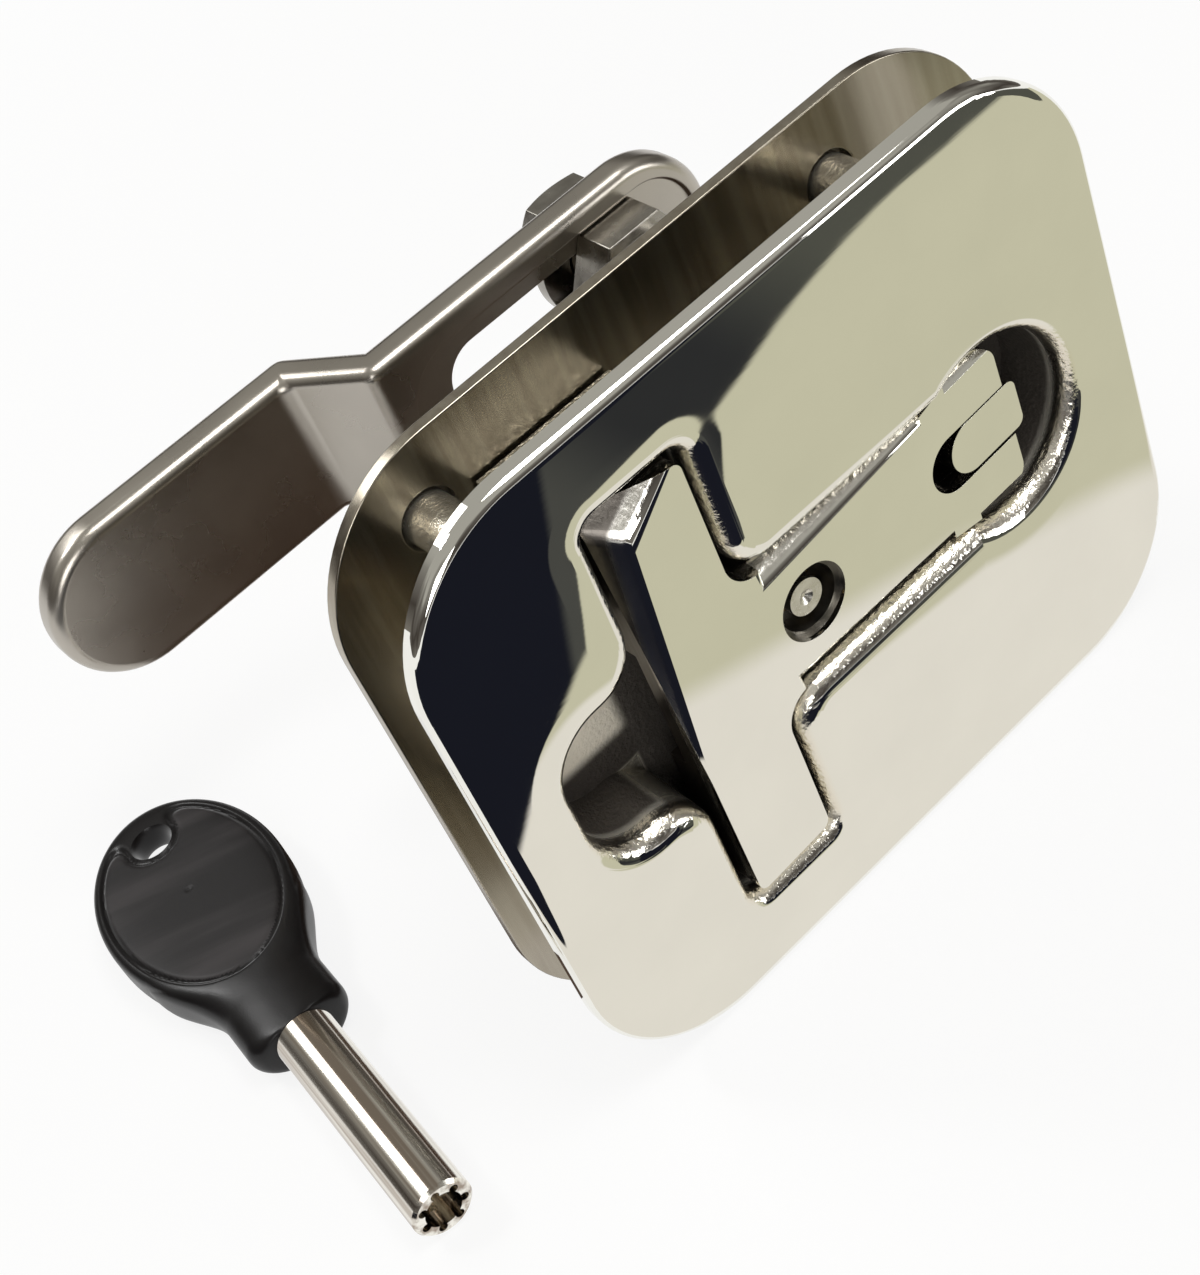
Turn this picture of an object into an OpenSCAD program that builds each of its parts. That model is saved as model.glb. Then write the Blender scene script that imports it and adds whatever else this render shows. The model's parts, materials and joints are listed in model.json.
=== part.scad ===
// Flush twist catch: cast plate with a folding T handle, a keyed lock, a clamp plate and a slotted cam arm
// Millimetres. X runs along the handle to its pivot, Y runs into the door, Z is up.
// The door skin touches the plane Y = 0, and the origin is the centre of the front plate on that plane.

/* [Plates] */
// width of both plates
plate_w = 120; // [112:1:150]
// height of both plates
plate_h = 106; // [102:1:130]
// plan radius of the plate corners
plate_corner = 22.5; // [18:0.5:28]
// thickness of the front plate
plate_t = 3; // [2.6:0.1:5]
// radius of the rolled front edge
edge_roll = 1.8; // [1:0.1:1.8]
// thickness of the clamp plate behind the door
back_t = 2; // [1.5:0.25:4]
// door thickness held between the plates
door_t = 14.6; // [12:0.1:22]
// pitch of the fixing posts along X
post_pitch_x = 72.5; // [70:0.5:74]
// pitch of the fixing posts along Z
post_pitch_z = 82; // [80:1:86]
// how far the post pattern sits from the plate centre along X
post_shift = -5.25; // [-7.25:0.5:-4.25]
// radius of a fixing post
post_r = 3.8; // [3.6:0.1:4.6]

/* [Pocket] */
// depth of the pocket below the face
pocket_depth = 14; // [13.4:0.1:16]
// wall and floor thickness of the pan
pan_wall = 3; // [2.5:0.1:3.4]
// radius rolled onto the rim of the pocket
rim_roll = 3.2; // [1:0.1:3.4]
// length of the finger scoop beside the crossbar
scoop_len = 17; // [15:0.1:18]
// half width of the finger scoop
scoop_half = 12.2; // [11:0.1:13]
// radius of the well round the pivot
well_r = 15; // [14.5:0.1:16]
// plan radius of the corners of the crossbar pocket
pocket_corner = 2.5; // [2:0.1:3]
// plan radius where the stem pocket runs into the crossbar pocket
corner_fillet = 6.5; // [5:0.1:7]
// plan radius where the finger scoop runs into the pocket
scoop_fillet = 8; // [7:0.1:9]
// plan radius of the corners of the finger scoop
scoop_corner = 8.5; // [7:0.1:9]

/* [Handle] */
// thickness of the T handle
handle_t = 8.5; // [8.2:0.1:8.8]
// length of the crossbar
bar_len = 74; // [66:1:75]
// width of the crossbar
bar_w = 14.5; // [12:0.5:15]
// distance from the spindle to the outer side of the crossbar
handle_reach = 62.7; // [58.7:0.1:63.7]
// bevel ground on the outer side of the crossbar at its upper end
bar_bevel = 4.5; // [2:0.1:5]
// bevel ground across the upper end of the crossbar
end_bevel = 4.2; // [1:0.1:4.5]
// angle at which the handle face falls towards the pivot
face_fall = 2.2; // [0:0.1:2.4]
// width of the stem at its base
stem_w = 23.6; // [22:0.1:24]
// width across the forked end at its base
fork_w = 26; // [25:0.1:26.4]
// width of the bevel along the stem and the fork
stem_bevel = 2.8; // [1:0.1:3]
// free gap beyond the ends of the crossbar in its pocket
bar_gap = 1.5; // [1:0.1:2]
// free gap on either side of the crossbar
bar_side_gap = 1.3; // [0.9:0.1:1.6]
// free gap beside the stem in its pocket
stem_gap = 1; // [0.8:0.1:1.6]

/* [Pivot] */
// distance of the spindle from the plate centre
spindle_x = 32.7; // [31.7:0.1:33.7]
// depth of the hinge pin below the face
pin_depth = 5.6; // [5.4:0.1:5.8]
// radius of the hinge pin
pin_r = 2; // [1.6:0.1:2.1]
// width of the spindle tongue in the fork
tongue_w = 8.6; // [7:0.1:9]
// radius of the spindle
spindle_r = 8; // [7:0.25:8.5]
// distance from the door skin to the cam seat of the spindle
spindle_len = 82.3; // [70.3:0.5:110.3]

/* [Cam] */
// width of the cam arm
arm_w = 29; // [26:0.5:32]
// thickness of the cam arm
arm_t = 6.5; // [5:0.25:8]
// step of the paddle behind the slotted part
arm_step = 13.5; // [8:0.5:18]
// length of the arm from the spindle to the paddle end
arm_reach = 109.2; // [98:0.1:132]
// length of the arm behind the spindle
arm_tail = 19.8; // [19.3:0.1:25]
// radius of the cam bolt
bolt_r = 6; // [5:0.25:6]
// size of the hexagon across its flats
hex_af = 19; // [17:0.5:19.5]
// length of the hexagon shoulder
hex_t = 8.5; // [7:0.5:10]

/* [Lock] */
// distance of the lock from the spindle
lock_reach = 37.2; // [35.7:0.1:38.7]
// radius of the key hole in the handle
keyhole_r = 5.95; // [5.6:0.05:6.2]
// radius of the lock shell
shell_r = 7.6; // [7.2:0.1:7.8]
// length of the pawl from the lock axis
pawl_len = 11.5; // [10.5:0.1:12]

/* [Key] */
// radius of the key shank
shank_r = 4.9; // [4.7:0.05:5]
// visible length of the key shank
shank_len = 41; // [30:0.1:46]
// width of the key bow
bow_w = 32; // [30:0.5:36]
// length of the key bow
bow_len = 49; // [47:0.5:52]
// thickness of the key bow at its neck
bow_t = 10; // [10:0.1:12]
// thickness of the key bow at its ring end
bow_end_t = 5; // [4.6:0.1:6]
// radius of the ring hole in the bow
ring_hole_r = 3; // [2.6:0.1:3.2]
// width of the key collar
collar_w = 17.6; // [16:0.1:18]

/* [Hidden] */
$fn = 64;
eps = 0.5;
running = 0.05;
bolt_room = 0.4;
face_y = -plate_t;
floor_y = face_y + pocket_depth;
pan_y = floor_y + pan_wall;
clamp_room = 0.5;
clamp_y = max(door_t, pan_y + clamp_room);
back_y = clamp_y + back_t;
post_y = back_y - 0.5;
post_hole_r = post_r + 0.6;
screw_r = 2.5;
screw_depth = 8;
washer_t = 1.6;
screw_head_r = 4.8;
screw_head_t = 4.2;

pin_y = face_y + pin_depth;
pin_back = 2.7;
pin_x = spindle_x - pin_back;
handle_y = face_y + handle_t;
bar_x0 = spindle_x - handle_reach;
bar_x1 = bar_x0 + bar_w;
bar_mid = (bar_x0 + bar_x1) / 2;
pocket_bar_w = bar_w + 2 * bar_side_gap;
pocket_bar_h = bar_len + 2 * bar_gap;
pocket_x0 = bar_mid - pocket_bar_w / 2;
pocket_x1 = bar_mid + pocket_bar_w / 2;
stem_half = stem_w / 2 + stem_gap;
well_x = spindle_x;
scoop_x0 = pocket_x0 - scoop_len;
scoop_x = scoop_x0 + scoop_corner;
scoop_z = scoop_half - scoop_corner;
scoop_post_x = pocket_x0 - scoop_fillet;
scoop_post_z = scoop_half + scoop_fillet;
bevel_depth = stem_bevel * 4 / 3;
bar_bevel_turn = atan(bar_bevel / (bar_len * 2 / 3));
end_bevel_turn = atan(end_bevel / (bar_w - 7));

fork_end = 7.2;
fork_x1 = pin_x + fork_end;
fork_front = 3;
fork_x0 = pin_x - fork_front;
fork_taper = 6;
fork_corner = 3;
stem_fillet = 5;
bar_corner = 1.5;
fork_room = 0.4;
slot_half = tongue_w / 2 + fork_room;
slot_reach = 9.3;
slot_x0 = pin_x - slot_reach;
tongue_front = 5;
tongue_x0 = pin_x - tongue_front;
tongue_end = 9.5;
tongue_x1 = pin_x + tongue_end;
tongue_corner = 1.5;
hub_wall = 3;
hub_r = spindle_r + hub_wall;
hub_len = 10;
hub_y = floor_y + hub_len;
barrel_len = 16;
barrel_y = hub_y + barrel_len;
barrel_wall = 4;
barrel_r = hub_r + barrel_wall;
bush_flange_t = 2;
bush_flange_rim = 2.5;
bush_flange_r = hub_r + bush_flange_rim;
bush_y = barrel_y + bush_flange_t;
thrust_t = 1.5;
thrust_room = 0.2;
thrust_y = bush_y + thrust_room;
thrust_rim = 0.5;
wave_rim = 3;
wave_t = 1;
clip_y = thrust_y + thrust_t + wave_t;
clip_t = 1.2;
clip_groove = 0.7;
clip_rim = 2.4;
clip_r = spindle_r + clip_rim;
clip_mouth = 4;
hex_y = spindle_len - hex_t;
recess_t = 1;
arm_y = spindle_len - recess_t;
arm_back = arm_y + arm_t;
paddle_y = arm_y + arm_step;
bolt_depth = 22;
cam_washer_t = 2.5;
cam_washer_r = 12;
bolt_head_y = arm_back + cam_washer_t;
bolt_head_t = 7.5;
arm_r = arm_w / 2;
arm_x1 = spindle_x + arm_tail;
arm_x0 = spindle_x - arm_reach;
fold_reach = 48.7;
fold_x0 = spindle_x - fold_reach;
fold_run = arm_step * 2 / 3;
fold_len = sqrt(pow(fold_run, 2) + pow(arm_step, 2));
fold_back = arm_t * (fold_len - fold_run) / arm_step;
slot_r = bolt_r + bolt_room;
slot_travel = 30.4;
slot_in = spindle_x - slot_travel;
slot_over = 3.3;
slot_out = spindle_x + slot_over;
hex_room = 0.4;
recess_r = hex_af / 2 + hex_room;
recess_travel = 34.7;
recess_in = spindle_x - recess_travel;
recess_over = 6.8;
recess_out = spindle_x + recess_over;

lock_x = spindle_x - lock_reach;
lip_t = 2.4;
shell_y0 = face_y + lip_t;
shell_y1 = pan_y + 2;
lock_bore_r = shank_r + 0.2;
rotor_r = lock_bore_r - running;
rotor_y = face_y + 8;
core_r = 2.9;
core_y = face_y + 2.6;
lock_pin_r = 0.6;
lock_pin_ring = 3.6;
nut_t = 3;
nut_af = 20;
keeper_t = 2;
pawl_y = pan_y + keeper_t + 0.3;
pawl_t = 2;
pawl_w = 8;
pawl_screw_r = 2;
floor_slot_x0 = lock_x - shell_r - 2.2;
floor_slot_x1 = lock_x + pawl_len + 1;
floor_slot_half = shell_r + 0.8;
keeper_x0 = lock_x - 11.5;
keeper_x1 = lock_x + 16;
keeper_z0 = floor_slot_half + 0.5;
keeper_z1 = stem_half + pan_wall - 0.7;
keeper_screw_z = (keeper_z0 + keeper_z1) / 2 + 0.8;
keeper_hole_y = floor_y + 0.8;
clamp_hole_x0 = keeper_x0 - 2;
clamp_hole_half = max(keeper_z1, barrel_r) + 1.5;

bench_z = -plate_h / 2;
key_z = bench_z + bow_t / 2;
key_turn = -95;
key_x = -84.1;
key_y = 82;
collar_x = 36.7;
shank_in = 14;
bow_mid = collar_x - 37.7;
bow_full_x = collar_x - 16;
bow_end_x = bow_mid - bow_len / 2;
bow_taper = atan((bow_t - bow_end_t) / 2 / (bow_full_x - bow_end_x));
neck_x0 = collar_x - 28;
neck_x1 = collar_x - 10;
neck_half = collar_w / 2 + 0.6;
ring_hole_x = bow_end_x + 8.7;
ring_web = 4;
bow_panel_t = 0.6;
key_bore_r = core_r + 0.1;
key_bore_len = 9;

// plan shape drawn in X and Z, thickened from Y = y0 to Y = y1
module slab(y0, y1) {
    translate([0, y1, 0])
        rotate([90, 0, 0])
            linear_extrude(y1 - y0)
                children();
}

// round bar along Y
module rod(y0, y1, r) {
    translate([0, y0, 0])
        rotate([-90, 0, 0])
            cylinder(h = y1 - y0, r = r);
}

// bevelled round along Y
module cone(y0, y1, r0, r1) {
    translate([0, y0, 0])
        rotate([-90, 0, 0])
            cylinder(h = y1 - y0, r1 = r0, r2 = r1);
}

// hexagonal bar along Y with a flat on top
module hex_bar(y0, y1, af) {
    translate([0, y0, 0])
        rotate([-90, 0, 0])
            cylinder(h = y1 - y0, r = af / sqrt(3), $fn = 6);
}

// ring along Y
module ring(y0, y1, r_out, r_in) {
    difference() {
        rod(y0, y1, r_out);
        rod(y0 - eps, y1 + eps, r_in);
    }
}

// rectangle with round corners
module round_rect(w, h, r) {
    square([w - 2 * r, h], center = true);
    square([w, h - 2 * r], center = true);
    for (sx = [-1, 1], sy = [-1, 1])
        translate([sx * (w / 2 - r), sy * (h / 2 - r)])
            circle(r);
}

// straight slot with round ends between two centres
module obround(x0, x1, r) {
    translate([x0, 0])
        circle(r);
    translate([x1, 0])
        circle(r);
    translate([x0, -r])
        square([x1 - x0, 2 * r]);
}

// half section of a plate with a rolled edge: out from the axis, down from the face
module rolled_half(r, roll, depth) {
    translate([0, roll])
        square([r, depth - roll]);
    square([r - roll, depth]);
    intersection() {
        translate([r - roll, roll])
            circle(roll);
        translate([r - roll, 0])
            square([roll, roll]);
    }
}

// half section of an opening whose rim rolls outward at the face
module flared_half(r, roll, depth) {
    square([r, depth]);
    translate([0, -eps])
        square([r + roll, eps]);
    difference() {
        translate([r - 0.2, 0])
            square([roll + 0.2, roll]);
        translate([r + roll, roll])
            circle(roll);
    }
}

// places a section that turns about an axis along Y at a point of the face
module turned_at(x, z) {
    translate([x, face_y, z])
        rotate([-90, 0, 0])
            rotate_extrude()
                children();
}

// plate outline with the rolled front edge
module plate_body() {
    cx = plate_w / 2 - plate_corner;
    cz = plate_h / 2 - plate_corner;
    for (sx = [-1, 1], sz = [-1, 1])
        turned_at(sx * cx, sz * cz)
            rolled_half(plate_corner, edge_roll, plate_t);
    translate([-cx, face_y, 0])
        rotate([0, 90, 0])
            linear_extrude(2 * cx)
                both_sides()
                    rolled_half(plate_h / 2, edge_roll, plate_t);
    translate([0, face_y, -cz])
        linear_extrude(2 * cz)
            both_sides()
                rolled_half(plate_w / 2, edge_roll, plate_t);
}

// a half section and its mirror image
module both_sides() {
    children();
    mirror([1, 0])
        children();
}

// opening of the crossbar with a rolled rim
module bar_opening() {
    hx = pocket_bar_w / 2;
    hz = pocket_bar_h / 2;
    for (sx = [-1, 1], sz = [-1, 1])
        turned_at(bar_mid + sx * (hx - pocket_corner), sz * (hz - pocket_corner))
            flared_half(pocket_corner, rim_roll, pocket_depth);
    translate([bar_mid - hx + pocket_corner, face_y, 0])
        rotate([0, 90, 0])
            linear_extrude(2 * (hx - pocket_corner))
                both_sides()
                    flared_half(hz, rim_roll, pocket_depth);
    translate([bar_mid, face_y, -hz + pocket_corner])
        linear_extrude(2 * (hz - pocket_corner))
            both_sides()
                flared_half(hx, rim_roll, pocket_depth);
}

// opening of the finger scoop with a rolled rim
module scoop_opening() {
    for (s = [-1, 1])
        turned_at(scoop_x, s * scoop_z)
            flared_half(scoop_corner, rim_roll, pocket_depth);
    translate([scoop_x, face_y, -scoop_z])
        linear_extrude(2 * scoop_z)
            mirror([1, 0])
                flared_half(scoop_corner, rim_roll, pocket_depth);
    translate([scoop_x, face_y, 0])
        rotate([0, 90, 0])
            linear_extrude(pocket_x0 + 4 - scoop_x)
                both_sides()
                    flared_half(scoop_half, rim_roll, pocket_depth);
}

// a square bite whose far corner keeps a rounded post of the plate
module corner_bite(x, z, sx, sz, r) {
    difference() {
        translate([min(x, x - sx * (r + 2)), face_y - eps, min(z, z - sz * (r + 2))])
            cube([r + 2, pocket_depth + eps, r + 2]);
        turned_at(x, z)
            rolled_half(r, rim_roll, pocket_depth + eps);
    }
}

// the whole pocket, cut from the face to the pan floor
module pocket() {
    bar_opening();
    translate([pocket_x0 + 4, face_y, 0])
        rotate([0, 90, 0])
            linear_extrude(well_x - pocket_x0 - 4)
                both_sides()
                    flared_half(stem_half, rim_roll, pocket_depth);
    turned_at(well_x, 0)
        flared_half(well_r, rim_roll, pocket_depth);
    scoop_opening();
    for (s = [-1, 1]) {
        corner_bite(pocket_x1 + corner_fillet, s * (stem_half + corner_fillet), 1, s, corner_fillet);
        corner_bite(scoop_post_x, s * scoop_post_z, -1, s, scoop_fillet);
    }
}

// plan of the pan grown by a margin
module pan_plan(m) {
    translate([bar_mid, 0])
        square([pocket_bar_w + 2 * m, pocket_bar_h + 2 * m], center = true);
    translate([bar_mid, -stem_half - m])
        square([well_x - bar_mid, 2 * (stem_half + m)]);
    translate([well_x, 0])
        circle(well_r + m);
    translate([scoop_x0 + scoop_len / 2 + 2, 0])
        round_rect(scoop_len + 4 + 2 * m, 2 * (scoop_half + m), scoop_corner + m);
    translate([scoop_post_x, -scoop_half - m - 2.5])
        square([pocket_x0 - scoop_post_x, 2 * (scoop_half + m + 2.5)]);
}

module at_posts() {
    for (sx = [-1, 1], sz = [-1, 1])
        translate([post_shift + sx * post_pitch_x / 2, 0, sz * post_pitch_z / 2])
            children();
}

module at_keeper_screws() {
    for (x = [keeper_x0 + 3, keeper_x1 - 3])
        translate([x, 0, keeper_screw_z])
            children();
}

module front_plate() color([0.80, 0.79, 0.74]) {
    difference() {
        union() {
            plate_body();
            slab(-1, pan_y)
                pan_plan(pan_wall);
            at_posts()
                rod(-1, post_y, post_r);
            translate([spindle_x, 0, 0])
                rod(pan_y - 1, barrel_y, barrel_r);
        }
        pocket();
        slab(floor_y - eps, pan_y + eps)
            translate([(floor_slot_x0 + floor_slot_x1) / 2, 0])
                round_rect(floor_slot_x1 - floor_slot_x0, 2 * floor_slot_half, 2);
        translate([spindle_x, 0, 0])
            rod(floor_y - eps, barrel_y + eps, hub_r);
        at_posts()
            rod(post_y - screw_depth - 1, post_y + eps, screw_r);
        at_keeper_screws()
            rod(keeper_hole_y, pan_y + eps, 1.5);
    }
}

module backing_plate() color([0.66, 0.65, 0.61]) {
    difference() {
        slab(clamp_y, back_y)
            round_rect(plate_w, plate_h, plate_corner);
        slab(clamp_y - eps, back_y + eps) {
            translate([(clamp_hole_x0 + spindle_x) / 2, 0])
                round_rect(spindle_x - clamp_hole_x0, 2 * clamp_hole_half, 5);
            translate([spindle_x - 8, -clamp_hole_half])
                square([8, 2 * clamp_hole_half]);
            translate([spindle_x, 0])
                circle(clamp_hole_half);
        }
        at_posts()
            rod(clamp_y - eps, back_y + eps, post_hole_r);
    }
}

module plate_washers() color([0.75, 0.75, 0.73]) {
    at_posts()
        ring(back_y, back_y + washer_t, 8.5, screw_r + 0.3);
}

module plate_screws() color([0.78, 0.78, 0.76]) {
    y = back_y + washer_t;
    at_posts() {
        rod(post_y - screw_depth, y + 1, screw_r);
        difference() {
            union() {
                rod(y, y + screw_head_t - 1.2, screw_head_r);
                cone(y + screw_head_t - 1.2, y + screw_head_t, screw_head_r, screw_head_r - 1.2);
            }
            hex_bar(y + screw_head_t - 2.4, y + screw_head_t + eps, 4);
        }
    }
}

// plan of the T handle with its fillets and forked end
module handle_plan() {
    translate([bar_mid, 0])
        round_rect(bar_w, bar_len, bar_corner);
    translate([bar_x1 - 1, -stem_w / 2])
        square([fork_x0 - bar_x1, stem_w]);
    for (s = [-1, 1])
        difference() {
            translate([bar_x1 - eps, s > 0 ? stem_w / 2 - eps : -stem_w / 2 - stem_fillet + eps])
                square([stem_fillet + eps, stem_fillet]);
            translate([bar_x1 + stem_fillet, s * (stem_w / 2 + stem_fillet)])
                circle(stem_fillet);
        }
    polygon([
        [fork_x0 - fork_taper, -stem_w / 2],
        [fork_x0, -fork_w / 2],
        [fork_x1 - fork_corner, -fork_w / 2],
        [fork_x1 - fork_corner, fork_w / 2],
        [fork_x0, fork_w / 2],
        [fork_x0 - fork_taper, stem_w / 2]
    ]);
    translate([fork_x1 - fork_corner, -fork_w / 2 + fork_corner])
        square([fork_corner, fork_w - 2 * fork_corner]);
    for (s = [-1, 1])
        translate([fork_x1 - fork_corner, s * (fork_w / 2 - fork_corner)])
            circle(fork_corner);
}

// what lies above the sloping face of the handle
module above_face(drop) {
    translate([bar_x0, face_y + drop, -bar_len])
        rotate([0, 0, face_fall])
            translate([-20, -20, 0])
                cube([handle_reach + 60, 20, 2 * bar_len]);
}

// bevel along one straight side of the stem, from one plan point to the next
module side_bevel(x0, z0, x1, z1, more) {
    translate([x0, face_y, z0])
        rotate([0, -atan2(z1 - z0, x1 - x0), 0])
            rotate([90, 0, 90])
                linear_extrude(norm([x1 - x0, z1 - z0]) + more)
                    polygon([[-1, -stem_bevel - 0.75], [bevel_depth, 0], [bevel_depth, 4], [-1, 4]]);
}

// bevels along the upper side of the stem and of the fork
module stem_bevels() {
    side_bevel(bar_x1 + stem_fillet, stem_w / 2, fork_x0 - fork_taper, stem_w / 2, 0.6);
    side_bevel(fork_x0 - fork_taper, stem_w / 2, fork_x0, fork_w / 2, 0);
    side_bevel(fork_x0, fork_w / 2, fork_x1 + 1, fork_w / 2, 0);
}

// slanting bevels ground on the upper outer corner of the crossbar
module ground_bevels() {
    translate([bar_x0, face_y, -bar_len / 6])
        rotate([0, bar_bevel_turn, 0])
            translate([0, 0, -5])
                linear_extrude(bar_len)
                    polygon([[-6, -2], [2, -2], [-6, 6]]);
    translate([bar_x1 - 1.3, face_y, bar_len / 2])
        rotate([0, -end_bevel_turn, 0])
            translate([-20, 0, 0])
                rotate([90, 0, 90])
                    linear_extrude(24)
                        polygon([[-2, -2], [8, 8], [-2, 8]]);
}

module handle() color([0.82, 0.81, 0.76]) {
    difference() {
        slab(face_y, handle_y)
            handle_plan();
        above_face(0);
        ground_bevels();
        for (s = [0, 1])
            mirror([0, 0, s])
                stem_bevels();
        translate([bar_x0 - 1, handle_y + 1, -scoop_half + 1])
            cylinder(h = 2 * scoop_half - 2, r = 4.5);
        slab(face_y - eps, handle_y + eps)
            obround(slot_x0 + slot_half, fork_x1 + 8, slot_half);
        translate([pin_x, pin_y, -fork_w / 2 - eps])
            cylinder(h = fork_w + 2 * eps, r = pin_r + running);
        translate([lock_x, 0, 0]) {
            rod(face_y - eps, shell_y0 + eps, keyhole_r);
            rod(shell_y0, handle_y + eps, shell_r);
        }
    }
}

module hinge_pin() color([0.74, 0.74, 0.72]) {
    translate([pin_x, pin_y, -fork_w / 2 + 0.2])
        cylinder(h = fork_w - 0.4, r = pin_r);
}

module pivot_head() color([0.80, 0.79, 0.74]) {
    difference() {
        union() {
            slab(face_y, floor_y + 2) {
                obround(tongue_x0 + tongue_w / 2, tongue_x1 - tongue_w / 2, tongue_w / 2);
                translate([tongue_x1 - tongue_w / 2, -tongue_w / 2 + tongue_corner])
                    square([tongue_w / 2, tongue_w - 2 * tongue_corner]);
                for (s = [-1, 1])
                    translate([tongue_x1 - tongue_corner, s * (tongue_w / 2 - tongue_corner)])
                        circle(tongue_corner);
                translate([spindle_x, -tongue_w / 2])
                    square([tongue_x1 - tongue_corner - spindle_x, tongue_w]);
            }
            translate([spindle_x, 0, 0])
                rod(floor_y, hub_y, hub_r);
        }
        above_face(0.1);
        translate([spindle_x, 0, 0])
            rod(floor_y + 2.5, hub_y + eps, spindle_r + running);
        translate([pin_x, pin_y, -tongue_w])
            cylinder(h = 2 * tongue_w, r = pin_r);
    }
}

module spindle_bush() color([0.72, 0.55, 0.27]) {
    translate([spindle_x, 0, 0])
        difference() {
            union() {
                rod(hub_y, bush_y, hub_r);
                rod(barrel_y, bush_y, bush_flange_r);
            }
            rod(hub_y - eps, bush_y + eps, spindle_r + running);
        }
}

module spindle() color([0.68, 0.67, 0.64]) {
    translate([spindle_x, 0, 0])
        difference() {
            union() {
                cone(floor_y + 3, floor_y + 4, spindle_r - 1, spindle_r);
                rod(floor_y + 4, clip_y, spindle_r);
                rod(clip_y, clip_y + clip_t, spindle_r - clip_groove);
                rod(clip_y + clip_t, hex_y, spindle_r);
                rod(hex_y, hex_y + 2, spindle_r - 0.6);
            }
            rod(hex_y - bolt_depth, spindle_len, bolt_r);
        }
}

module thrust_washer() color([0.70, 0.70, 0.68]) {
    translate([spindle_x, 0, 0])
        ring(thrust_y, thrust_y + thrust_t, bush_flange_r - thrust_rim, spindle_r);
}

module wave_washer() color([0.55, 0.55, 0.54]) {
    translate([spindle_x, 0, 0])
        ring(thrust_y + thrust_t, clip_y, spindle_r + wave_rim, spindle_r);
}

module spindle_clip() color([0.35, 0.35, 0.35]) {
    translate([spindle_x, 0, 0])
        difference() {
            ring(clip_y, clip_y + clip_t, clip_r, spindle_r - clip_groove);
            translate([-clip_mouth / 2, clip_y - eps, 0])
                cube([clip_mouth, clip_t + 2 * eps, clip_r + eps]);
        }
}

module hex_shoulder() color([0.70, 0.69, 0.66]) {
    translate([spindle_x, 0, 0])
        difference() {
            hex_bar(hex_y, spindle_len, hex_af);
            rod(hex_y - eps, hex_y + 2, spindle_r - 0.6);
            rod(hex_y, spindle_len + eps, bolt_r);
        }
}

// plan of the cam arm with both ends round
module arm_plan() {
    obround(arm_x0 + arm_r, arm_x1 - arm_r, arm_r);
}

module cam_arm() color([0.60, 0.58, 0.54]) {
    difference() {
        intersection() {
            translate([0, 0, -arm_w])
                linear_extrude(2 * arm_w)
                    polygon([
                        [arm_x1 + 2, arm_y],
                        [fold_x0, arm_y],
                        [fold_x0 - fold_run, paddle_y],
                        [arm_x0 - 2, paddle_y],
                        [arm_x0 - 2, paddle_y + arm_t],
                        [fold_x0 - fold_run + fold_back, paddle_y + arm_t],
                        [fold_x0 + fold_back, arm_back],
                        [arm_x1 + 2, arm_back]
                    ]);
            slab(arm_y - 1, paddle_y + arm_t + 1)
                arm_plan();
        }
        slab(arm_y - eps, spindle_len)
            obround(recess_in, recess_out, recess_r);
        slab(arm_y - eps, arm_back + eps)
            obround(slot_in, slot_out, slot_r);
    }
}

module cam_washer() color([0.72, 0.72, 0.70]) {
    translate([spindle_x, 0, 0])
        ring(arm_back, bolt_head_y, cam_washer_r, bolt_r + 0.3);
}

module cam_bolt() color([0.72, 0.72, 0.70]) {
    translate([spindle_x, 0, 0]) {
        rod(hex_y - bolt_depth + 2, bolt_head_y + 1, bolt_r);
        intersection() {
            hex_bar(bolt_head_y, bolt_head_y + bolt_head_t, hex_af);
            union() {
                rod(bolt_head_y - 1, bolt_head_y + bolt_head_t - 1.5, hex_af);
                cone(bolt_head_y + bolt_head_t - 1.5, bolt_head_y + bolt_head_t, hex_af / 2 + 1.5, hex_af / 2 - 1);
            }
        }
    }
}

module lock_shell() color([0.72, 0.72, 0.70]) {
    translate([lock_x, 0, 0])
        ring(shell_y0, shell_y1, shell_r, lock_bore_r);
}

module lock_nut() color([0.70, 0.66, 0.52]) {
    translate([lock_x, 0, 0])
        difference() {
            hex_bar(handle_y, handle_y + nut_t, nut_af);
            rod(handle_y - eps, handle_y + nut_t + eps, shell_r);
        }
}

module at_lock_pins() {
    for (i = [0:6])
        rotate([0, i * 360 / 7, 0])
            translate([0, 0, lock_pin_ring])
                children();
}

module lock_rotor() color([0.78, 0.77, 0.72]) {
    translate([lock_x, 0, 0])
        difference() {
            union() {
                rod(core_y, rotor_y + 1, core_r);
                rod(rotor_y, pawl_y, rotor_r);
            }
            at_lock_pins()
                rod(rotor_y - eps, rotor_y + 3, lock_pin_r);
            rod(pawl_y - 5, pawl_y + eps, pawl_screw_r);
            cone(core_y - 0.1, core_y + 0.6, 1.4, 0.3);
        }
}

module lock_pins() color([0.72, 0.58, 0.30]) {
    translate([lock_x, 0, 0])
        at_lock_pins()
            rod(rotor_y - 1.2, rotor_y + 3, lock_pin_r);
}

module lock_pawl() color([0.64, 0.64, 0.62]) {
    translate([lock_x, 0, 0])
        difference() {
            slab(pawl_y, pawl_y + pawl_t) {
                circle(pawl_w / 2 + 1);
                translate([0, -pawl_w / 2])
                    square([pawl_len - 2, pawl_w]);
                translate([pawl_len - 2, -pawl_w / 2 + 2])
                    square([2, pawl_w - 4]);
                for (s = [-1, 1])
                    translate([pawl_len - 2, s * (pawl_w / 2 - 2)])
                        circle(2);
            }
            rod(pawl_y - eps, pawl_y + pawl_t + eps, pawl_screw_r);
        }
}

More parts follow.
